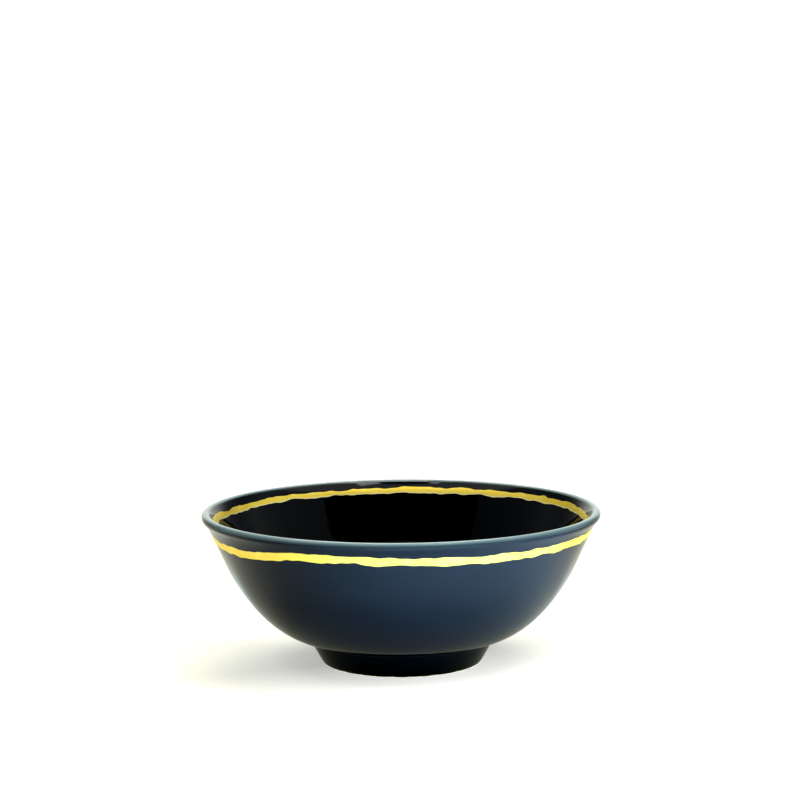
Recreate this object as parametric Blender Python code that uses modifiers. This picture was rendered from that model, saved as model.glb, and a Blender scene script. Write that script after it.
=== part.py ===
"""A small round glazed porcelain dip bowl on a foot ring, turned as one piece.

Metres, +Z up. The origin is the centre of the circle that the foot ring stands on.
One half section is worked out from the sizes below and turned about Z.
"""

import math

import bpy
import numpy as np

MM = 0.001

# Rim and lip
RIM_DIAMETER = 120.0 * MM  # across the outermost line of the lip
HEIGHT = 46.2 * MM  # table to the top of the lip
LIP_THICKNESS = 2.7 * MM  # also the diameter of the lip's round edge
LIP_LEAN = math.radians(45.0)  # how far the wall leans out where the lip starts
FLARE_RADIUS = 10.0 * MM  # of the outer curve that turns the wall out to the lip

# Wall
WALL_LEAN = math.radians(24.0)  # of the straight part, from the vertical
WALL_THICKNESS = 2.9 * MM  # at the bottom of the straight part
STRAIGHT_DROP = 16.0 * MM  # from the top of the lip to where the wall starts to round in
UPPER_PULL = 16.2 * MM  # how long the belly's curve keeps the direction of the wall
LOWER_PULL = 7.0 * MM  # how long it keeps the direction of the underside
UNDERSIDE_RISE = math.radians(4.0)  # slope of the underside where it meets the foot
CORNER_THICKNESS = 3.6 * MM  # where the underside meets the foot
FLOOR_THICKNESS = 4.2 * MM  # in the middle of the floor

# Foot ring
FOOT_HEIGHT = 7.4 * MM  # table to where the foot meets the underside
FOOT_TOP_DIAMETER = 56.6 * MM  # where the foot meets the underside
FOOT_BASE_DIAMETER = 48.4 * MM
FOOT_BASE_WIDTH = 3.2 * MM  # of the ring, at the table
FOOT_INNER_DRAFT = math.radians(8.0)  # the ring's inner side leans in by this, going up
FOOT_FILLET = 1.0 * MM  # of the glaze that fills the corner between foot and underside
FOOT_EDGE = 0.4 * MM  # rounding of the two edges at the table
RECESS_DEPTH = 5.6 * MM  # inside the foot ring
RECESS_FILLET = 1.2 * MM

# How finely the curves are cut
STEPS_ROUND = 80
LIP_STEPS = 8
FLARE_STEPS = 4
BELLY_STEPS = 12
FLOOR_STEPS = 5
FILLET_STEPS = 3
EDGE_STEPS = 2
MERGE_DISTANCE = 0.01 * MM

GLAZE_COLOUR = (0.010, 0.016, 0.030, 1.0)
GLAZE_ROUGHNESS = 0.08
GLAZE_METALLIC = 0.0


def along(lean):
    """Unit vectors that run down a wall leaning out by these angles."""
    return -np.column_stack([np.sin(lean), np.cos(lean)])


def outward(lean):
    """Unit vectors that point straight out of a wall leaning out by these angles."""
    return np.column_stack([np.cos(lean), -np.sin(lean)])


def outer_wall():
    """The outer face from the lip down to the foot: its points, their leans and the thickness behind each."""
    lip_centre = np.array([RIM_DIAMETER / 2 - LIP_THICKNESS / 2, HEIGHT - LIP_THICKNESS / 2])

    flare_lean = np.linspace(LIP_LEAN, WALL_LEAN, FLARE_STEPS + 1)
    flare_reach = LIP_THICKNESS / 2 + FLARE_RADIUS
    flare_centre = lip_centre + flare_reach * outward(np.array([LIP_LEAN]))[0]
    flare = flare_centre - FLARE_RADIUS * outward(flare_lean)

    belly_z = HEIGHT - STRAIGHT_DROP
    belly_r = flare[-1, 0] - (flare[-1, 1] - belly_z) * math.tan(WALL_LEAN)
    start = np.array([belly_r, belly_z])
    end = np.array([FOOT_TOP_DIAMETER / 2, FOOT_HEIGHT])
    end_lean = math.pi / 2 - UNDERSIDE_RISE
    upper = start + UPPER_PULL * along(np.array([WALL_LEAN]))[0]
    lower = end - LOWER_PULL * along(np.array([end_lean]))[0]

    # Cubic curve from the straight wall to the foot, pulled along the directions of both
    t = np.linspace(0.0, 1.0, BELLY_STEPS + 1)[:, None]
    belly = (1 - t) ** 3 * start + 3 * (1 - t) ** 2 * t * upper + 3 * (1 - t) * t**2 * lower + t**3 * end
    heading = (1 - t) ** 2 * (upper - start) + 2 * (1 - t) * t * (lower - upper) + t**2 * (end - lower)
    belly_lean = np.arctan2(-heading[:, 0], -heading[:, 1])

    points = np.vstack([flare, belly])
    leans = np.concatenate([flare_lean, belly_lean])
    drop = (flare[:, 1] - flare[0, 1]) / (belly_z - flare[0, 1])
    upper_thickness = LIP_THICKNESS + (WALL_THICKNESS - LIP_THICKNESS) * drop
    belly_thickness = WALL_THICKNESS + (CORNER_THICKNESS - WALL_THICKNESS) * t[:, 0]
    return points, leans, np.concatenate([upper_thickness, belly_thickness])


def lip():
    """The round edge of the lip, from its inner side over the top to its outer side."""
    centre = np.array([RIM_DIAMETER / 2 - LIP_THICKNESS / 2, HEIGHT - LIP_THICKNESS / 2])
    turn = np.linspace(math.pi - LIP_LEAN, -LIP_LEAN, LIP_STEPS + 1)[1:-1]
    return centre + LIP_THICKNESS / 2 * np.column_stack([np.cos(turn), np.sin(turn)])


def floor_inside(edge, edge_slope):
    """The floor from the middle to edge: level in the middle, in line with the wall at its edge."""
    middle = RECESS_DEPTH + FLOOR_THICKNESS
    rise = edge[1] - middle
    run = edge_slope * edge[0]
    share = np.linspace(0.0, 1.0, FLOOR_STEPS + 1)[:-1]
    height = middle + (3 * rise - run) * share**2 + (run - 2 * rise) * share**3
    return np.column_stack([share * edge[0], height])


def rounded(before, corner, after, radius, steps):
    """The arc of this radius that touches both sides of a corner, run from before to after."""
    to_before = (before - corner) / np.linalg.norm(before - corner)
    to_after = (after - corner) / np.linalg.norm(after - corner)
    half = math.acos(float(np.clip(to_before @ to_after, -1.0, 1.0))) / 2
    middle = to_before + to_after
    centre = corner + radius / math.sin(half) * middle / np.linalg.norm(middle)
    first = corner + radius / math.tan(half) * to_before - centre
    last = corner + radius / math.tan(half) * to_after - centre
    turn = math.pi - 2 * half
    share = np.linspace(0.0, 1.0, steps + 1)[:, None]
    return centre + (np.sin((1 - share) * turn) * first + np.sin(share * turn) * last) / math.sin(turn)


def foot(underside):
    """The foot ring and the recess in it, from the underside of the wall to the axis."""
    top = np.array([FOOT_TOP_DIAMETER / 2, FOOT_HEIGHT])
    outer = np.array([FOOT_BASE_DIAMETER / 2, 0.0])
    inner = outer - np.array([FOOT_BASE_WIDTH, 0.0])
    corner = np.array([inner[0] - RECESS_DEPTH * math.tan(FOOT_INNER_DRAFT), RECESS_DEPTH])
    middle = np.array([0.0, RECESS_DEPTH])
    return np.vstack([
        rounded(underside, top, outer, FOOT_FILLET, FILLET_STEPS),
        rounded(top, outer, inner, FOOT_EDGE, EDGE_STEPS),
        rounded(outer, inner, corner, FOOT_EDGE, EDGE_STEPS),
        rounded(inner, corner, middle, RECESS_FILLET, FILLET_STEPS),
        middle[None],
    ])


def half_section():
    """The whole half section: floor, inner wall, lip, outer wall, foot and recess, from axis to axis."""
    outer, leans, thickness = outer_wall()
    inner = outer - thickness[:, None] * outward(leans)
    edge = inner[-1]
    slope = math.tan(UNDERSIDE_RISE)
    return np.vstack([
        floor_inside(edge, slope),
        inner[::-1],
        lip(),
        outer[:-1],
        foot(outer[-2]),
    ])


def glaze():
    material = bpy.data.materials.new("navy_glaze")
    material.use_nodes = True
    shader = material.node_tree.nodes["Principled BSDF"]
    shader.inputs["Base Color"].default_value = GLAZE_COLOUR
    shader.inputs["Roughness"].default_value = GLAZE_ROUGHNESS
    shader.inputs["Metallic"].default_value = GLAZE_METALLIC
    material.diffuse_color = GLAZE_COLOUR
    return material


def turned_bowl(collection):
    section = half_section()
    points = [(r, 0.0, z) for r, z in section]
    edges = [(i, i + 1) for i in range(len(points) - 1)]
    mesh = bpy.data.meshes.new("dip_bowl")
    mesh.from_pydata(points, edges, [])
    mesh.materials.append(glaze())
    bowl = bpy.data.objects.new("dip_bowl", mesh)
    collection.objects.link(bowl)

    screw = bowl.modifiers.new("turned about the axis", "SCREW")
    screw.axis = "Z"
    screw.steps = STEPS_ROUND
    screw.render_steps = STEPS_ROUND
    screw.use_merge_vertices = True
    screw.merge_threshold = MERGE_DISTANCE
    screw.use_smooth_shade = True
    return bowl


def main():
    for leftover in list(bpy.data.objects):
        bpy.data.objects.remove(leftover)
    collection = bpy.data.collections.new("dip_bowl")
    bpy.context.scene.collection.children.link(collection)
    turned_bowl(collection)


main()
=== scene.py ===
# Looks for a small glazed porcelain dip bowl: navy glaze, painted gold lustre stripes, bare foot ring.
# Metres, +Z up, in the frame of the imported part: the bowl's axis is Z and it stands on Z = 0.

import math

import bpy
import numpy as np
from mathutils import Matrix


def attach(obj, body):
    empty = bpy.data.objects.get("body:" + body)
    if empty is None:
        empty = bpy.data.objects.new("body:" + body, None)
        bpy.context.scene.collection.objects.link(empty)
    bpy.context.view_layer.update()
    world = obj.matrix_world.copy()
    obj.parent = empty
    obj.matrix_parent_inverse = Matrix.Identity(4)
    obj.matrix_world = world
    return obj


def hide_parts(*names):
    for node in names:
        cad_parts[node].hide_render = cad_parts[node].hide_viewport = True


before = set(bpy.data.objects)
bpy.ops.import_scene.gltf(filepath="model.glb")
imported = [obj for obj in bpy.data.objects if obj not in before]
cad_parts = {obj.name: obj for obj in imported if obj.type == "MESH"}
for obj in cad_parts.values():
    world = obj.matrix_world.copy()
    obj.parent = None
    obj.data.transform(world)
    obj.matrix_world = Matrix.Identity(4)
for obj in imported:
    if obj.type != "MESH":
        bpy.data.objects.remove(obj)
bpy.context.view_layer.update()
print("frame loaded:", ", ".join(sorted(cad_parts)))

mm = 0.001


def toLinear(srgb):
    # the sRGB curve: a short straight start, then a power of 2.4
    return np.where(srgb <= 0.04045, srgb / 12.92, ((srgb + 0.055) / 1.055) ** 2.4)


def hexColour(text):
    # sRGB hex to the linear red, green, blue, alpha that shaders take
    srgb = np.array([int(text[i:i + 2], 16) for i in (1, 3, 5)]) / 255
    return (*toLinear(srgb).tolist(), 1.0)


def addNode(tree, kind, settings=None, values=None, links=None):
    # one node: its own settings, the values of its sockets, and the outputs that feed them
    node = tree.nodes.new(kind)
    for name, value in (settings or {}).items():
        setattr(node, name, value)
    for name, value in (values or {}).items():
        node.inputs[name].default_value = value
    for name, source in (links or {}).items():
        tree.links.new(source, node.inputs[name])
    return node


smooth = {"interpolation_type": "SMOOTHSTEP"}  # for a ramp that eases in and out


def newMaterial(name):
    # an empty node tree with its shader and output joined
    material = bpy.data.materials.new(name)
    material.use_nodes = True
    tree = material.node_tree
    tree.nodes.clear()
    shader = addNode(tree, "ShaderNodeBsdfPrincipled")
    addNode(tree, "ShaderNodeOutputMaterial", links={"Surface": shader.outputs["BSDF"]})
    return material, tree, shader


# Sizes of the half section, the same as the part's
bowlShape = {
    "rimDiameter": 120.0 * mm,
    "height": 46.2 * mm,
    "lipThickness": 2.7 * mm,
    "lipLean": math.radians(45),
    "flareRadius": 10.0 * mm,
    "wallLean": math.radians(24),
    "wallThickness": 2.9 * mm,
    "straightDrop": 16.0 * mm,
    "upperPull": 16.2 * mm,
    "lowerPull": 7.0 * mm,
    "undersideRise": math.radians(4),
    "cornerThickness": 3.6 * mm,
    "floorThickness": 4.2 * mm,
    "footHeight": 7.4 * mm,
    "footTopDiameter": 56.6 * mm,
    "footBaseDiameter": 48.4 * mm,
    "footBaseWidth": 3.2 * mm,
    "footInnerDraft": math.radians(8),
    "footFillet": 1.0 * mm,
    "footEdge": 0.4 * mm,
    "recessDepth": 5.6 * mm,
    "recessFillet": 1.2 * mm,
    "columns": 720,  # round the bowl, about 0.5 mm each at the rim
    "rowSpacing": 3.2 * mm,  # along the section where it runs straight
    "rowTurn": math.radians(12),  # and the most that it may bend from row to row
    "arcPoints": 24,  # points on each arc of the section, from which the rows are read off
    "beadPoints": 60,
    "floorPoints": 60,
    "bellyPoints": 120,
}

# The two painted stripes and the glaze line on the foot, by the heights of their edges
stripes = {
    "outerTop": 41.75 * mm,
    "outerBottom": 39.35 * mm,
    "innerTop": 43.9 * mm,
    "innerBottom": 42.15 * mm,
    "outerWander": 0.42 * mm,  # how far a whole stripe drifts up and down
    "innerWander": 0.25 * mm,
    "edgeWander": 0.08 * mm,  # how far each edge does so by itself
    "ragged": 0.15 * mm,  # how far its small brush marks reach
    "sag": 2.1 * mm,  # the outer stripe runs this much lower on the left
    "sagAt": math.radians(-162),
    "sagHalf": math.radians(33),
    "outerRoom": 5.0 * mm,  # of the rows above and below that give way to a wandering edge
    "innerRoom": 1.5 * mm,
    "glazeLineRoom": 0.5 * mm,
    "glazeLine": 0.42 * mm,  # height at which the glaze stops above the table
    "glazeLineRagged": 0.07 * mm,
    # distances past the top of the lip, going out: between the middle two the lip is palest, where the glaze
    # is thinnest and a painted highlight lies along it
    "thinGlazeAndHighlight": [-1.5 * mm, -0.3 * mm, 0.3 * mm, 2.1 * mm],
    # each number draws another line
    "innerSeed": 2621,
    "outerSeed": 5431,
    "edgeSeeds": (21, 22, 31, 32),
    "glazeLineSeeds": (41, 42),
}


def headings(lean):
    # unit vectors down a wall that leans out by these angles, and straight out of it
    lean = np.atleast_1d(lean)
    down = -np.column_stack([np.sin(lean), np.cos(lean)])
    out = np.column_stack([np.cos(lean), -np.sin(lean)])
    return down, out


def roundCorner(before, corner, after, radius, count):
    # the arc of this radius touching both sides of a corner, from the side of before to that of after
    toBefore = (before - corner) / np.linalg.norm(before - corner)
    toAfter = (after - corner) / np.linalg.norm(after - corner)
    half = math.acos(float(np.clip(toBefore @ toAfter, -1, 1))) / 2
    middle = (toBefore + toAfter) / np.linalg.norm(toBefore + toAfter)
    centre = corner + radius / math.sin(half) * middle
    first = corner + radius / math.tan(half) * toBefore - centre
    last = corner + radius / math.tan(half) * toAfter - centre
    turn = math.pi - 2 * half
    share = np.linspace(0, 1, count)[:, None]
    return centre + (np.sin((1 - share) * turn) * first + np.sin(share * turn) * last) / math.sin(turn)


def outerFace(s):
    # lip bead centre, then a concave arc from the lip's lean to the wall's, a straight wall,
    # and a cubic curve B(t) = (1-t)^3 a + 3(1-t)^2 t b + 3(1-t) t^2 c + t^3 d down to the foot
    radius = s["lipThickness"] / 2
    beadCentre = np.array([s["rimDiameter"] / 2 - radius, s["height"] - radius])
    flareLean = np.linspace(s["lipLean"], s["wallLean"], s["arcPoints"])
    flareCentre = beadCentre + (radius + s["flareRadius"]) * headings(s["lipLean"])[1][0]
    flare = flareCentre - s["flareRadius"] * headings(flareLean)[1]

    bellyZ = s["height"] - s["straightDrop"]
    a = np.array([flare[-1, 0] - (flare[-1, 1] - bellyZ) * math.tan(s["wallLean"]), bellyZ])
    d = np.array([s["footTopDiameter"] / 2, s["footHeight"]])
    b = a + s["upperPull"] * headings(s["wallLean"])[0][0]
    c = d - s["lowerPull"] * headings(math.pi / 2 - s["undersideRise"])[0][0]
    t = np.linspace(0, 1, s["bellyPoints"])[:, None]
    belly = (1 - t) ** 3 * a + 3 * (1 - t) ** 2 * t * b + 3 * (1 - t) * t**2 * c + t**3 * d
    tangent = (1 - t) ** 2 * (b - a) + 2 * (1 - t) * t * (c - b) + t**2 * (d - c)
    bellyLean = np.arctan2(-tangent[:, 0], -tangent[:, 1])

    drop = (flare[:, 1] - flare[0, 1]) / (bellyZ - flare[0, 1])
    flareThickness = s["lipThickness"] + (s["wallThickness"] - s["lipThickness"]) * drop
    bellyThickness = s["wallThickness"] + (s["cornerThickness"] - s["wallThickness"]) * t[:, 0]
    points = np.vstack([flare, belly])
    leans = np.concatenate([flareLean, bellyLean])
    return beadCentre, points, leans, np.concatenate([flareThickness, bellyThickness])


def halfSection(s):
    # (radius, height) from the middle of the floor, up the inside, over the lip, down the outside,
    # round the foot ring and in to the middle of the recess under it
    beadCentre, outer, leans, thickness = outerFace(s)
    inner = outer - thickness[:, None] * headings(leans)[1]

    # floor height = m + (3 rise - run) q^2 + (run - 2 rise) q^3 over the share q of the way out
    edge, middle = inner[-1], s["recessDepth"] + s["floorThickness"]
    rise, run = edge[1] - middle, math.tan(s["undersideRise"]) * edge[0]
    q = np.linspace(0, 1, s["floorPoints"])[:-1]
    floorInside = np.column_stack([q * edge[0], middle + (3 * rise - run) * q**2 + (run - 2 * rise) * q**3])

    turn = np.linspace(math.pi - s["lipLean"], -s["lipLean"], s["beadPoints"])[1:-1]
    bead = beadCentre + s["lipThickness"] / 2 * np.column_stack([np.cos(turn), np.sin(turn)])

    footTop = np.array([s["footTopDiameter"] / 2, s["footHeight"]])
    footOuter = np.array([s["footBaseDiameter"] / 2, 0.0])
    footInner = footOuter - np.array([s["footBaseWidth"], 0.0])
    recess = np.array([footInner[0] - s["recessDepth"] * math.tan(s["footInnerDraft"]), s["recessDepth"]])
    centre = np.array([0.0, s["recessDepth"]])
    parts = [
        floorInside,
        inner[::-1],
        bead,
        outer[:-1],
        roundCorner(outer[-2], footTop, footOuter, s["footFillet"], s["arcPoints"]),
        roundCorner(footTop, footOuter, footInner, s["footEdge"], s["arcPoints"]),
        roundCorner(footOuter, footInner, recess, s["footEdge"], s["arcPoints"]),
        roundCorner(footInner, recess, centre, s["recessFillet"], s["arcPoints"]),
        centre[None],
    ]
    return np.vstack(parts)


def raggedLine(angle, wander, ragged, seed):
    # a closed painted edge: sines of whole turns with random phases, slow ones for the hand's drift
    # and quick ones, each with less reach than the last, for the brush's small bumps
    phase = np.random.default_rng(seed).uniform(0, 2 * math.pi, 200)
    slow, slowFade = np.arange(2, 9), 0.6
    quick, quickFade = np.arange(16, 110), 1.1
    drift = (np.sin(angle[:, None] * slow + phase[slow]) / slow**slowFade).sum(axis=1)
    bumps = (np.sin(angle[:, None] * quick + phase[quick]) / quick**quickFade).sum(axis=1)
    return wander * drift / np.std(drift) + ragged * bumps / np.std(bumps)


def warpedArcs(arcs, keys, offsets, room):
    # piecewise linear slide of the rows: row at keys[i] moves by offsets[i], the rows between follow
    # in proportion, and a row further than room from the keys stays where it is
    knots = np.concatenate([[keys[0] - room], keys, [keys[-1] + room]])
    moves = np.vstack([np.zeros_like(offsets[0]), *offsets, np.zeros_like(offsets[0])])
    place = np.interp(arcs, knots, np.arange(len(knots)), left=0, right=len(knots) - 1)
    low = np.minimum(place.astype(int), len(knots) - 2)
    share = (place - low)[:, None]
    return (1 - share) * moves[low] + share * moves[low + 1]


def bowlMesh(s, paint):
    # the half section carried round Z: point(row, column) = (r cos a, r sin a, z) with r, z read off
    # the section at the row's arc length, which slides up and down so that rows follow the painted edges
    section = halfSection(s)
    step = np.diff(section, axis=0)
    length = np.linalg.norm(step, axis=1)
    arc = np.concatenate([[0], np.cumsum(length)])
    way = np.unwrap(np.arctan2(step[:, 1], step[:, 0]))
    bend = np.concatenate([[0], np.cumsum(np.abs(np.diff(way))), [0]])
    bend[-1] = bend[-2]

    # rows at even steps of arc length plus bending, so that they crowd where the section curves
    measure = arc / s["rowSpacing"] + bend / s["rowTurn"]
    rows = np.interp(np.linspace(0, measure[-1], int(measure[-1]) + 2), measure, arc)

    lipTop = int(np.argmax(section[:, 1]))
    footEnd = int(np.argmin(section[:, 1]))
    footRow = int(np.argmax(section[:, 1] <= paint["glazeLine"]))
    underFoot = len(section) - 1 - int(np.argmax(section[::-1, 1] < paint["glazeLine"]))
    innerEdges = np.array([paint["innerBottom"], paint["innerTop"]])
    innerKeys = np.interp(innerEdges, section[:lipTop, 1], arc[:lipTop]).tolist()
    outerEdges = np.array([paint["outerTop"], paint["outerBottom"]])
    outerKeys = np.interp(-outerEdges, -section[lipTop:footEnd, 1], arc[lipTop:footEnd]).tolist()
    footKeys = [float(arc[footRow]), float(arc[underFoot])]
    keyRows = []
    for key in innerKeys + outerKeys + footKeys:
        nearest = int(np.argmin(np.abs(rows - key)))
        if nearest in keyRows:
            nearest += 1
        rows[nearest] = key
        keyRows.append(nearest)
    rows = np.sort(rows)

    angle = np.arange(s["columns"]) * 2 * math.pi / s["columns"]
    innerDrift = raggedLine(angle, paint["innerWander"], 0, paint["innerSeed"])
    # the rows of the outside run downwards, so a higher line slides up against them
    away = np.angle(np.exp(1j * (angle - paint["sagAt"])))  # from the middle of the sag, -pi to pi
    outerDrift = paint["sag"] * np.exp(-np.abs(away / paint["sagHalf"]) ** 4)
    outerDrift -= raggedLine(angle, paint["outerWander"], 0, paint["outerSeed"])
    edges = [raggedLine(angle, paint["edgeWander"], paint["ragged"], seed) for seed in paint["edgeSeeds"]]
    rims = [raggedLine(angle, 0, paint["glazeLineRagged"], seed) for seed in paint["glazeLineSeeds"]]
    innerMoves = [innerDrift + edges[0], innerDrift + edges[1]]
    outerMoves = [outerDrift + edges[2], outerDrift + edges[3]]
    slide = warpedArcs(rows, innerKeys, innerMoves, paint["innerRoom"])
    slide += warpedArcs(rows, outerKeys, outerMoves, paint["outerRoom"])
    slide += warpedArcs(rows, footKeys, rims, paint["glazeLineRoom"])
    arcs = rows[:, None] + slide

    radius = np.interp(arcs, arc, section[:, 0])
    height = np.interp(arcs, arc, section[:, 1])
    rings = np.stack([radius * np.cos(angle), radius * np.sin(angle), height], axis=-1)[1:-1]
    count, columns = rings.shape[:2]
    vertices = np.vstack([rings.reshape(-1, 3), [[0, 0, section[0, 1]], [0, 0, section[-1, 1]]]])

    here = np.arange(columns)
    there = (here + 1) % columns
    ring = np.arange(count - 1)[:, None] * columns
    quads = np.stack([ring + here, ring + columns + here, ring + columns + there, ring + there], axis=-1)
    last = (count - 1) * columns
    topFan = np.stack([np.full(columns, count * columns), here, there], axis=-1)
    lowFan = np.stack([np.full(columns, count * columns + 1), last + there, last + here], axis=-1)
    faces = quads.reshape(-1, 4).tolist() + topFan.tolist() + lowFan.tolist()

    # which finish each band of faces between two rows has: 0 glaze, 1 gold, 2 bare biscuit
    middle = (rows[1:-2] + rows[2:-1]) / 2
    finish = np.zeros(len(middle), int)
    finish[(middle > innerKeys[0]) & (middle < innerKeys[1])] = 1
    finish[(middle > outerKeys[0]) & (middle < outerKeys[1])] = 1
    finish[(middle > footKeys[0]) & (middle < footKeys[1])] = 2
    finishes = np.concatenate([np.repeat(finish, columns), np.zeros(2 * columns, int)])

    mesh = bpy.data.meshes.new("dipBowlGlazed")
    mesh.from_pydata(vertices.tolist(), [], faces)
    mesh.polygons.foreach_set("material_index", finishes.astype(np.int32))
    mesh.polygons.foreach_set("use_smooth", np.ones(len(faces), bool))
    # 0 at the upper edge of the inner stripe and 1 at its lower edge, 0 everywhere else
    share = (innerKeys[1] - rows[1:-1]) / (innerKeys[1] - innerKeys[0])
    share = np.where((share > -1e-6) & (share < 1 + 1e-6), share, 0)
    across = mesh.attributes.new("acrossStripe", "FLOAT", "POINT")
    across.data.foreach_set("value", np.concatenate([np.repeat(share, columns), [0, 0]]))
    # 1 along the top of the lip, where the glaze ran thin and a painted highlight is laid on its colour
    paleLipShare = np.interp(arcs[1:-1] - arc[lipTop], paint["thinGlazeAndHighlight"], [0, 1, 1, 0])
    paleLip = mesh.attributes.new("thinGlazeAndHighlight", "FLOAT", "POINT")
    paleLip.data.foreach_set("value", np.concatenate([paleLipShare.ravel(), [0, 0]]))
    mesh.update()
    print("bowl mesh:", len(vertices), "points,", 2 * len(quads.reshape(-1, 4)) + 2 * columns, "triangles")
    return mesh


def glazeMaterial(look):
    # Porcelain dipped in cobalt navy glaze and fired glossy. To the eye it is blue-black with a
    # mirror skin that ripples very slightly, and pale grey-blue along the top of the lip, partly where
    # it ran thin and partly a painted highlight
    material, tree, shader = newMaterial("navyGlaze")
    where = addNode(tree, "ShaderNodeTexCoord").outputs["Object"]
    cloud = addNode(tree, "ShaderNodeTexNoise",
                    values={"Scale": 1 / look["cloud"], "Detail": 3, "Roughness": 0.55},
                    links={"Vector": where})
    body = addNode(tree, "ShaderNodeMix", {"data_type": "RGBA"}, links={0: cloud.outputs["Fac"]})
    body.inputs[6].default_value = hexColour(look["deep"])
    body.inputs[7].default_value = hexColour(look["colour"])
    # painted highlight along the top of the lip, laid on together with the paler thin glaze there
    paleLipMask = addNode(tree, "ShaderNodeAttribute", {"attribute_name": "thinGlazeAndHighlight"}).outputs["Fac"]
    paleLip = addNode(tree, "ShaderNodeMix", {"data_type": "RGBA"}, links={0: paleLipMask, 6: body.outputs[2]})
    paleLip.inputs[7].default_value = hexColour(look["paleLip"])
    tree.links.new(paleLip.outputs[2], shader.inputs["Base Color"])

    patch = addNode(tree, "ShaderNodeTexNoise", values={"Scale": 1 / look["patch"], "Detail": 2},
                    links={"Vector": where})
    gloss = addNode(tree, "ShaderNodeMapRange", values={"To Min": look["smooth"], "To Max": look["rough"]},
                    links={"Value": patch.outputs["Fac"]})
    tree.links.new(gloss.outputs["Result"], shader.inputs["Roughness"])
    ripple = addNode(tree, "ShaderNodeTexNoise", values={"Scale": 1 / look["ripple"], "Detail": 1},
                     links={"Vector": where})
    bump = addNode(tree, "ShaderNodeBump",
                   values={"Strength": look["rippleStrength"], "Distance": look["rippleDepth"]},
                   links={"Height": ripple.outputs["Fac"]})
    tree.links.new(bump.outputs["Normal"], shader.inputs["Normal"])
    shader.inputs["IOR"].default_value = look["ior"]
    return material


def lustreMaterial(look):
    # Gold lustre: a metal film brushed over the glaze and fired on. To the eye it is warm yellow metal,
    # a little duller than the glaze, with fine streaks along the stroke and paler and deeper patches, and a
    # painted highlight along the inner stripe's lower edge
    material, tree, shader = newMaterial("goldLustre")
    where = addNode(tree, "ShaderNodeTexCoord").outputs["Object"]
    stretch = addNode(tree, "ShaderNodeMapping",
                      values={"Scale": (1, 1, look["strokeLength"] / look["strokeWidth"])},
                      links={"Vector": where})
    streak = addNode(tree, "ShaderNodeTexNoise",
                     values={"Scale": 1 / look["strokeLength"], "Detail": 3, "Roughness": 0.6},
                     links={"Vector": stretch.outputs["Vector"]})
    patch = addNode(tree, "ShaderNodeTexNoise", values={"Scale": 1 / look["patch"], "Detail": 2},
                    links={"Vector": where})
    mixed = addNode(tree, "ShaderNodeMath", {"operation": "MULTIPLY_ADD"},
                    links={0: streak.outputs["Fac"], 2: patch.outputs["Fac"]})
    mixed.inputs[1].default_value = look["streakShare"]
    share = addNode(tree, "ShaderNodeMapRange",
                    values={"From Min": look["toneFrom"], "From Max": look["toneTo"]},
                    links={"Value": mixed.outputs[0]})
    tone = addNode(tree, "ShaderNodeMix", {"data_type": "RGBA"}, links={0: share.outputs["Result"]})
    tone.inputs[6].default_value = hexColour(look["deep"])
    tone.inputs[7].default_value = hexColour(look["bright"])
    # painted highlight: towards the inner stripe's lower edge the colour is mixed paler
    across = addNode(tree, "ShaderNodeAttribute", {"attribute_name": "acrossStripe"}).outputs["Fac"]
    edgeHighlight = addNode(tree, "ShaderNodeMapRange", smooth,
                       {"From Min": look["edgeHighlightFrom"], "From Max": look["edgeHighlightTo"],
                        "To Max": look["edgeHighlightAmount"]},
                       {"Value": across})
    highlighted = addNode(tree, "ShaderNodeMix", {"data_type": "RGBA"}, {7: hexColour(look["edge"])},
                    {0: edgeHighlight.outputs["Result"], 6: tone.outputs[2]})
    tree.links.new(highlighted.outputs[2], shader.inputs["Base Color"])
    dull = addNode(tree, "ShaderNodeMapRange", values={"To Min": look["smooth"], "To Max": look["rough"]},
                   links={"Value": streak.outputs["Fac"]})
    tree.links.new(dull.outputs["Result"], shader.inputs["Roughness"])
    bump = addNode(tree, "ShaderNodeBump",
                   values={"Strength": look["strokeStrength"], "Distance": look["strokeDepth"]},
                   links={"Height": streak.outputs["Fac"]})
    tree.links.new(bump.outputs["Normal"], shader.inputs["Normal"])
    shader.inputs["Metallic"].default_value = look["metallic"]
    return material


def biscuitMaterial(look):
    # Bare fired porcelain where the foot was wiped clean of glaze. To the eye it is matt off-white
    # with a fine grain, and faintly grey where it has slid on tables
    material, tree, shader = newMaterial("bareBiscuit")
    where = addNode(tree, "ShaderNodeTexCoord").outputs["Object"]
    grain = addNode(tree, "ShaderNodeTexNoise", values={"Scale": 1 / look["grain"], "Detail": 4},
                    links={"Vector": where})
    worn = addNode(tree, "ShaderNodeTexNoise", values={"Scale": 1 / look["wear"], "Detail": 3},
                   links={"Vector": where})
    tone = addNode(tree, "ShaderNodeMix", {"data_type": "RGBA"}, links={0: worn.outputs["Fac"]})
    tone.inputs[6].default_value = hexColour(look["clean"])
    tone.inputs[7].default_value = hexColour(look["grey"])
    tree.links.new(tone.outputs[2], shader.inputs["Base Color"])
    bump = addNode(tree, "ShaderNodeBump",
                   values={"Strength": look["grainStrength"], "Distance": look["grainDepth"]},
                   links={"Height": grain.outputs["Fac"]})
    tree.links.new(bump.outputs["Normal"], shader.inputs["Normal"])
    shader.inputs["Roughness"].default_value = look["rough"]
    return material


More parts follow.
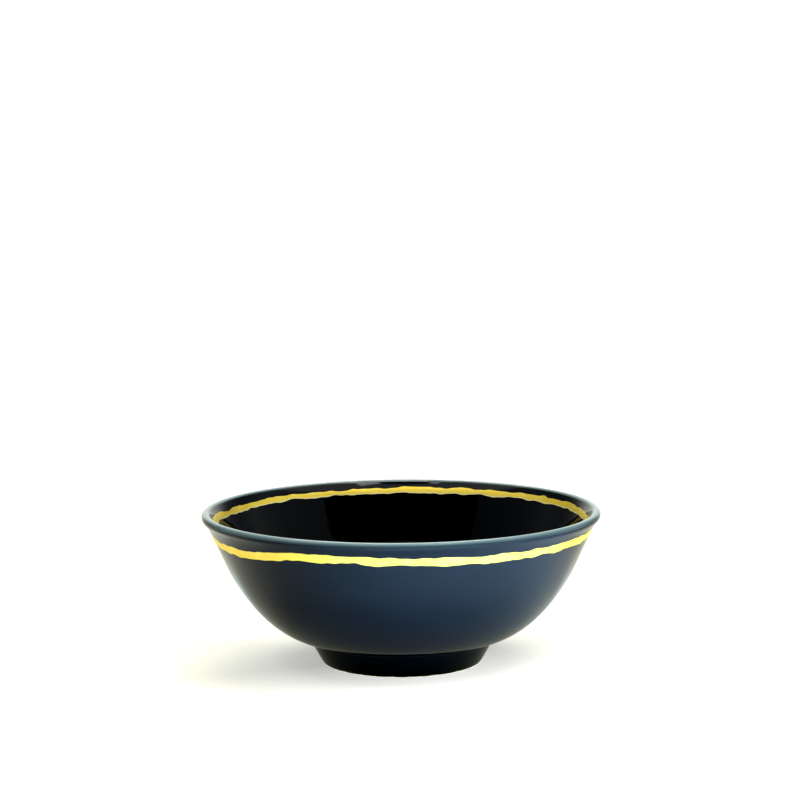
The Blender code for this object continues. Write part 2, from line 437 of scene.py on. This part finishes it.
glazeLook = {
    "colour": "#161C2A",
    "deep": "#10151F",
    "paleLip": "#9CB2B4",  # where it ran off the lip and the porcelain shows through, made paler still as a painted highlight
    "cloud": 9 * mm,  # size of the faint darker and lighter clouds
    "patch": 14 * mm,
    "smooth": 0.03,
    "rough": 0.07,
    "ripple": 5 * mm,  # spacing of the glaze's ripples
    "rippleDepth": 0.012 * mm,
    "rippleStrength": 0.5,
    "ior": 1.5,
}
lustreLook = {
    "bright": "#FFEB84",
    "deep": "#F8DE69",
    "edge": "#FFFBD2",  # painted highlight: paler along the inner stripe's lower edge, as if that edge caught the light
    "edgeHighlightAmount": 0.85,
    "edgeHighlightFrom": 0.74,  # shares of the way down across the stripe
    "edgeHighlightTo": 0.94,
    "streakShare": 0.6,  # of the streaks in the paler and deeper tones, the patches being 1
    "toneFrom": 0.55,  # sums of the two at which the tone is deepest and brightest
    "toneTo": 1.05,
    "strokeLength": 7 * mm,
    "strokeWidth": 0.5 * mm,
    "strokeDepth": 0.02 * mm,
    "strokeStrength": 0.4,
    "patch": 6 * mm,
    "smooth": 0.36,
    "rough": 0.5,
    "metallic": 0.88,
}
biscuitLook = {
    "clean": "#F1EEE6",
    "grey": "#D9D4CA",
    "grain": 0.35 * mm,  # coarser than the real grain, so that it shows
    "grainDepth": 0.05 * mm,
    "grainStrength": 0.5,
    "wear": 5 * mm,
    "rough": 0.75,
}

mesh = bowlMesh(bowlShape, stripes)
for material in (
    glazeMaterial(glazeLook),
    lustreMaterial(lustreLook),
    biscuitMaterial(biscuitLook),
):
    mesh.materials.append(material)
bowl = bpy.data.objects.new("dipBowlGlazed", mesh)
bpy.context.scene.collection.objects.link(bowl)
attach(bowl, "root")
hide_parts("dip_bowl")
print("bowl dressed: glaze, lustre, biscuit")

# White table: a disc of warm matt white plastic under the bowl that glows with painted light. Its glow is a
# painted cool pool of light in front on the right, and weaker towards the bowl as painted shade round it
table = {
    "colour": "#EEEEE3",
    "radius": 1.1,
    "rough": 0.9,
    "gloss": 0.1,
    "shadeFrom": 22 * mm,  # distances from the bowl's axis between which the cool light comes up
    "shadeTo": 110 * mm,
    "coolGlow": 3.5,
    "cool": "#AEDAFF",
    "coolAzimuth": math.radians(25),  # of its middle, from the camera's side to the right
    "coolSpread": 1.6,  # the higher, the narrower
    "coolReach": -0.1,  # cosine of the angle from its middle at which it ends
    "coolBehind": 0.6,  # share of it that shines behind the bowl as well, between these distances
    "behindFrom": 65 * mm,
    "behindTo": 125 * mm,
    "behindReach": 0.35,  # sine of the angle behind the bowl's side at which it starts
    "nearFrom": 35 * mm,  # distances over which the warm light changes, in two steps
    "nearTo": 85 * mm,
    "nearGlow": 0.03,
    "farTo": 220 * mm,
    "farGlow": 0.5,
    "footGlow": 0.2,  # what it is beside the foot
    "footCool": 0.1,  # and how much more on the side where the cool light is
    "warm": "#FFFFE6",
    "whiten": 0.25,  # how far the photograph's backdrop was lifted towards white beside the bowl
    "whitenFar": 0.3,  # and away from it
    "whitenCool": 0.2,  # and how much more on the cool side
    "shadeOutFrom": 90 * mm,  # painted shade: distances over which the plastic is painted greyer going out, which shows where the edges of the wall mirror it
    "shadeOutTo": 230 * mm,  # where the edges of the wall mirror it
    "grey": 0.3,
    "turns": 96,
    "rings": 8,
}


def tableMesh(s):
    # a disc on z = 0: point(ring, turn) = (r cos q, r sin q, 0), the rings wider apart going out
    q = np.linspace(0, 2 * math.pi, s["turns"] + 1)[:-1]
    r = s["radius"] * np.linspace(0, 1, s["rings"] + 1)[1:, None] ** 2
    grid = np.stack([r * np.cos(q), r * np.sin(q), 0 * r * q], axis=-1)
    points = np.vstack([grid.reshape(-1, 3), [[0, 0, 0]]])
    here = np.arange(len(q))
    there = (here + 1) % len(q)
    ring = np.arange(len(r) - 1)[:, None] * len(q)
    quads = np.stack([ring + here, ring + len(q) + here, ring + len(q) + there, ring + there], axis=-1)
    fan = np.stack([np.full(len(q), len(points) - 1), here, there], axis=-1)
    made = bpy.data.meshes.new("whiteTable")
    made.from_pydata(points.tolist(), [], quads.reshape(-1, 4).tolist() + fan.tolist())
    made.update()
    return made


def tableMaterial(s):
    # Matt white plastic whose glow is painted light: a cool pool in front on the right, and painted shade
    # towards the bowl. To the eye it is plain white
    material, tree, shader = newMaterial("tablePaintedGlow")
    shader.inputs["Roughness"].default_value = s["rough"]
    shader.inputs["Specular IOR Level"].default_value = s["gloss"]
    shader.inputs["Emission Strength"].default_value = 1.0
    where = addNode(tree, "ShaderNodeTexCoord").outputs["Object"]
    away = addNode(tree, "ShaderNodeVectorMath", {"operation": "LENGTH"}, links={0: where}).outputs["Value"]
    # painted shade: the plastic's colour darkens going out, for a dimmer far table
    grey = addNode(tree, "ShaderNodeMapRange", smooth,
                   {"From Min": s["shadeOutFrom"], "From Max": s["shadeOutTo"], "To Min": 1, "To Max": s["grey"]},
                   {"Value": away})
    shadedPlastic = addNode(tree, "ShaderNodeVectorMath", {"operation": "SCALE"}, {0: hexColour(s["colour"])[:3]},
                      {"Scale": grey.outputs["Result"]})
    tree.links.new(shadedPlastic.outputs[0], shader.inputs["Base Color"])
    # painted pool of cool light = glow * smooth ramp of the distance (painted shade near the bowl) * (turned
    # share of the direction) ^ spread
    heading = addNode(tree, "ShaderNodeVectorMath", {"operation": "NORMALIZE"}, links={0: where})
    towards = (math.sin(s["coolAzimuth"]), -math.cos(s["coolAzimuth"]), 0)
    facing = addNode(tree, "ShaderNodeVectorMath", {"operation": "DOT_PRODUCT"}, {1: towards},
                     {0: heading.outputs[0]})
    turned = addNode(tree, "ShaderNodeMapRange", values={"From Min": s["coolReach"]},
                     links={"Value": facing.outputs["Value"]})
    narrow = addNode(tree, "ShaderNodeMath", {"operation": "POWER"}, {1: s["coolSpread"]},
                     {0: turned.outputs["Result"]})
    ahead = addNode(tree, "ShaderNodeSeparateXYZ", links={"Vector": heading.outputs[0]}).outputs["Y"]
    fade = addNode(tree, "ShaderNodeMapRange", smooth,
                   {"From Min": s["behindFrom"], "From Max": s["behindTo"],
                    "To Min": s["coolBehind"], "To Max": 0},
                   {"Value": away})
    behind = addNode(tree, "ShaderNodeMapRange", values={"From Min": s["behindReach"]},
                     links={"Value": ahead, "To Max": fade.outputs[0]})
    lobes = addNode(tree, "ShaderNodeMath", {"operation": "ADD"},
                    links={0: narrow.outputs[0], 1: behind.outputs["Result"]})
    near = addNode(tree, "ShaderNodeMapRange", smooth,
                   {"From Min": s["shadeFrom"], "From Max": s["shadeTo"], "To Max": s["coolGlow"]},
                   {"Value": away})
    share = addNode(tree, "ShaderNodeMath", {"operation": "MULTIPLY"},
                    links={0: lobes.outputs[0], 1: near.outputs["Result"]})
    cool = addNode(tree, "ShaderNodeVectorMath", {"operation": "SCALE"}, {0: hexColour(s["cool"])[:3]},
                   {"Scale": share.outputs[0]})
    beside = addNode(tree, "ShaderNodeMath", {"operation": "MULTIPLY_ADD"},
                     {1: s["footCool"], 2: s["footGlow"]},
                     {0: turned.outputs["Result"]})
    middle = addNode(tree, "ShaderNodeMapRange", smooth,
                     {"From Min": s["nearFrom"], "From Max": s["nearTo"], "To Max": s["nearGlow"]},
                     {"Value": away, "To Min": beside.outputs[0]})
    far = addNode(tree, "ShaderNodeMapRange", smooth,
                  {"From Min": s["nearTo"], "From Max": s["farTo"], "To Max": s["farGlow"]},
                  {"Value": away, "To Min": middle.outputs["Result"]})
    plain = addNode(tree, "ShaderNodeVectorMath", {"operation": "SCALE"}, {0: hexColour(s["warm"])[:3]},
                    {"Scale": far.outputs["Result"]})
    glow = addNode(tree, "ShaderNodeVectorMath", {"operation": "ADD"},
                   links={0: cool.outputs[0], 1: plain.outputs[0]})
    # what the camera sees of it is plain and lifted: the red part of the glow, which is the weakest
    whiten = addNode(tree, "ShaderNodeMapRange", smooth,
                     {"From Min": s["nearTo"], "From Max": s["farTo"],
                      "To Min": s["whiten"], "To Max": s["whitenFar"]},
                     {"Value": away})
    lift = addNode(tree, "ShaderNodeMath", {"operation": "MULTIPLY_ADD"}, {1: s["whitenCool"]},
                   {0: turned.outputs["Result"], 2: whiten.outputs["Result"]})
    red = addNode(tree, "ShaderNodeSeparateXYZ", links={"Vector": glow.outputs[0]}).outputs["X"]
    shown = addNode(tree, "ShaderNodeMath", {"operation": "ADD"}, links={0: red, 1: lift.outputs[0]})
    seen = addNode(tree, "ShaderNodeLightPath").outputs["Is Camera Ray"]
    picture = addNode(tree, "ShaderNodeMix", {"data_type": "RGBA"},
                      links={0: seen, 6: glow.outputs[0], 7: shown.outputs[0]})
    tree.links.new(picture.outputs[2], shader.inputs["Emission Color"])
    return material


tableTop = bpy.data.objects.new("whiteTable", tableMesh(table))
tableTop.data.materials.append(tableMaterial(table))
bpy.context.scene.collection.objects.link(tableTop)

# The studio, as directions round the bowl: azimuth 0 is the camera's side, 90 the right, 180 behind.
# Brightness of the room in each: it is dim behind the camera and in the two corners behind the bowl
studio = {
    "behind": 1.15,
    "corner": 0.35,
    "right": 0.75,
    "left": 0.6,
    "front": 0.3,
    "frontHalf": math.radians(58),  # how far the dim part reaches to each side
    "above": 1.5,  # all round, between these heights
    "aboveFrom": math.radians(50),
    "aboveTo": math.radians(70),
    "top": 0.5,  # over those
    "white": "#FFFFF6",
    "backdrop": 1.06,  # what the camera sees of it all round
    "low": math.radians(7),  # height up to which the long low lamps at the sides and in front reach
    "lowLeft": 1.65,
    "lowRight": 2.8,
    "coolLow": "#D6EEFF",  # colour of those on the right
    # shares of a direction's length to the right, towards the camera or upwards between which one
    # part passes into the next
    "sideSoft": 0.1,
    "cornerFrom": 0.3,
    "cornerTo": 0.55,
    "backFull": -0.75,
    "backEnd": -0.4,
    "edgeSoft": 0.03,
    "topSoft": 0.02,
    "lowSoft": 0.8,
    "coolFrom": 0.2,
}


def studioWorld(s):
    # each part of the room is a ramp on the direction looked in, laid over the parts before it
    world = bpy.data.worlds.new("studio")
    world.use_nodes = True
    tree = world.node_tree
    tree.nodes.clear()
    where = addNode(tree, "ShaderNodeTexCoord").outputs["Generated"]
    axis = addNode(tree, "ShaderNodeSeparateXYZ", links={"Vector": where}).outputs

    # toFront = -y / length of (x, y): 1 straight behind the camera, -1 straight behind the bowl
    flat = addNode(tree, "ShaderNodeVectorMath", {"operation": "MULTIPLY"}, {1: (1, 1, 0)}, {0: where})
    unit = addNode(tree, "ShaderNodeVectorMath", {"operation": "NORMALIZE"}, links={0: flat.outputs[0]})
    toFront = addNode(tree, "ShaderNodeVectorMath", {"operation": "DOT_PRODUCT"}, {1: (0, -1, 0)},
                      {0: unit.outputs[0]})
    toFront = toFront.outputs["Value"]

    # the room above: its front, its two sides, what is behind, and the ceiling in two rings
    side = addNode(tree, "ShaderNodeMapRange", smooth,
                   {"From Min": -s["sideSoft"], "From Max": s["sideSoft"],
                    "To Min": s["left"], "To Max": s["right"]},
                   {"Value": axis["X"]})
    aside = addNode(tree, "ShaderNodeMath", {"operation": "ABSOLUTE"}, links={0: axis["X"]})
    behind = addNode(tree, "ShaderNodeMapRange", smooth,
                     {"From Min": s["cornerFrom"], "From Max": s["cornerTo"],
                      "To Min": s["behind"], "To Max": s["corner"]},
                     {"Value": aside.outputs[0]})
    back = addNode(tree, "ShaderNodeMapRange", smooth, {"From Min": s["backFull"], "From Max": s["backEnd"]},
                   {"Value": toFront, "To Min": behind.outputs[0], "To Max": side.outputs[0]})
    edge, soft = math.cos(s["frontHalf"]), s["edgeSoft"]
    walls = addNode(tree, "ShaderNodeMapRange", smooth,
                    {"From Min": edge - soft, "From Max": edge + soft, "To Max": s["front"]},
                    {"Value": toFront, "To Min": back.outputs[0]})
    lower, upper = math.sin(s["aboveFrom"]), math.sin(s["aboveTo"])
    ring = addNode(tree, "ShaderNodeMapRange", smooth,
                   {"From Min": lower - soft, "From Max": lower + soft, "To Max": s["above"]},
                   {"Value": axis["Z"], "To Min": walls.outputs[0]})
    room = addNode(tree, "ShaderNodeMapRange", smooth,
                   {"From Min": upper - s["topSoft"], "From Max": upper + s["topSoft"], "To Max": s["top"]},
                   {"Value": axis["Z"], "To Min": ring.outputs[0]})

    # the low lamps, and which share of each direction is above them
    lamps = addNode(tree, "ShaderNodeMapRange", smooth,
                    {"From Min": -s["lowSoft"], "From Max": s["lowSoft"],
                     "To Min": s["lowLeft"], "To Max": s["lowRight"]},
                    {"Value": axis["X"]})
    low = addNode(tree, "ShaderNodeMapRange", smooth, {"From Min": s["backFull"], "From Max": s["backEnd"]},
                  {"Value": toFront, "To Min": behind.outputs[0], "To Max": lamps.outputs[0]})
    height = addNode(tree, "ShaderNodeMapRange", smooth,
                     {"From Min": math.sin(0.5 * s["low"]), "From Max": math.sin(1.5 * s["low"])},
                     {"Value": axis["Z"]})
    strength = addNode(tree, "ShaderNodeMix", {"data_type": "FLOAT"},
                       links={0: height.outputs[0], 2: low.outputs[0], 3: room.outputs[0]})
    rightward = addNode(tree, "ShaderNodeMapRange", smooth,
                        {"From Min": s["coolFrom"], "From Max": s["lowSoft"]}, {"Value": axis["X"]})
    lowTint = addNode(tree, "ShaderNodeMix", {"data_type": "RGBA"},
                      {6: hexColour(s["white"]), 7: hexColour(s["coolLow"])},
                      {0: rightward.outputs[0]})
    tint = addNode(tree, "ShaderNodeMix", {"data_type": "RGBA"}, {7: hexColour(s["white"])},
                   {0: height.outputs[0], 6: lowTint.outputs[2]})
    # the camera itself sees the plain backdrop of the photograph all round
    seen = addNode(tree, "ShaderNodeLightPath").outputs["Is Camera Ray"]
    shown = addNode(tree, "ShaderNodeMix", {"data_type": "FLOAT"}, {3: s["backdrop"]},
                    {0: seen, 2: strength.outputs[0]})
    plain = addNode(tree, "ShaderNodeMix", {"data_type": "RGBA"}, {7: (1, 1, 1, 1)},
                    {0: seen, 6: tint.outputs[2]})
    light = addNode(tree, "ShaderNodeBackground",
                    links={"Color": plain.outputs[2], "Strength": shown.outputs[0]})
    addNode(tree, "ShaderNodeOutputWorld", links={"Surface": light.outputs["Background"]})
    bpy.context.scene.world = world


studioWorld(studio)

# Soft boxes: azimuth, elevation and distance of the middle, width and height, and watts
softBoxes = {
    "topRight": (85, 77, 1.3, 0.6, 0.18, 1.5),
    "topLeft": (-85, 77, 1.3, 0.5, 0.08, 0.5),
    "zenith": (180, 88, 1.3, 0.4, 0.3, 2.0),
    "back": (180, 50, 1.3, 0.6, 0.4, 3.2),
}
for name, (azimuth, elevation, distance, width, tall, watts) in softBoxes.items():
    a, e = math.radians(azimuth), math.radians(elevation)
    back = np.array([math.sin(a) * math.cos(e), -math.cos(a) * math.cos(e), math.sin(e)])
    lamp = bpy.data.lights.new(name, "AREA")
    lamp.shape, lamp.size, lamp.size_y, lamp.energy = "RECTANGLE", width, tall, watts
    box = bpy.data.objects.new(name, lamp)
    rightward = np.cross([0, 0, 1], back) / np.linalg.norm(np.cross([0, 0, 1], back))
    upward = np.cross(back, rightward)
    turned = Matrix(np.column_stack([rightward, upward, back]).tolist()).to_4x4()
    turned.translation = (back * distance).tolist()
    box.matrix_world = turned
    bpy.context.scene.collection.objects.link(box)
print("stage and lights set")

# The photograph's camera, found from the rim's ellipse, the wall's outline and the foot
view = {
    "lens": 89.0,
    "sensor": 36.0,
    "clip": (0.01, 50.0),
    "aimHeight": 79.05 * mm,
    "distance": 594.1 * mm,
    "lookDown": math.radians(6.204),
    "roll": math.radians(0.491),
}
down = view["lookDown"]
lens = bpy.data.cameras.new("photoCamera")
lens.lens, lens.sensor_width = view["lens"], view["sensor"]
lens.clip_start, lens.clip_end = view["clip"]
camera = bpy.data.objects.new("photoCamera", lens)
sine, cosine = math.sin(down), math.cos(down)
facing = Matrix(((1, 0, 0), (0, sine, -cosine), (0, cosine, sine))).to_4x4()
facing = facing @ Matrix.Rotation(-view["roll"], 4, "Z")
facing.translation = (0, -view["distance"] * cosine, view["aimHeight"] + view["distance"] * sine)
camera.matrix_world = facing
bpy.context.scene.collection.objects.link(camera)
bpy.context.scene.camera = camera

# The photograph's contrast: display levels with a raised black point, as a curve on the linear
# picture. level is the sRGB level that turns black, gain the stretch of what lies above it
contrast = {"level": 44 / 255, "gain": 1.19, "steps": 14}


def photoContrast(s):
    grade = bpy.context.scene.view_settings
    grade.view_transform = "Standard"
    grade.use_curve_mapping = True
    shown = np.linspace(s["level"], 1, s["steps"])
    curve = grade.curve_mapping.curves[3]  # the one for red, green and blue together
    knots = list(zip(toLinear(shown).tolist(), toLinear(s["gain"] * (shown - s["level"])).tolist()))
    for x, y in knots[:-1]:
        curve.points.new(x, min(y, 1.0))
    for point in curve.points:
        point.handle_type = "VECTOR"
    grade.curve_mapping.update()


photoContrast(contrast)
print("camera and contrast set")

bpy.context.view_layer.update()
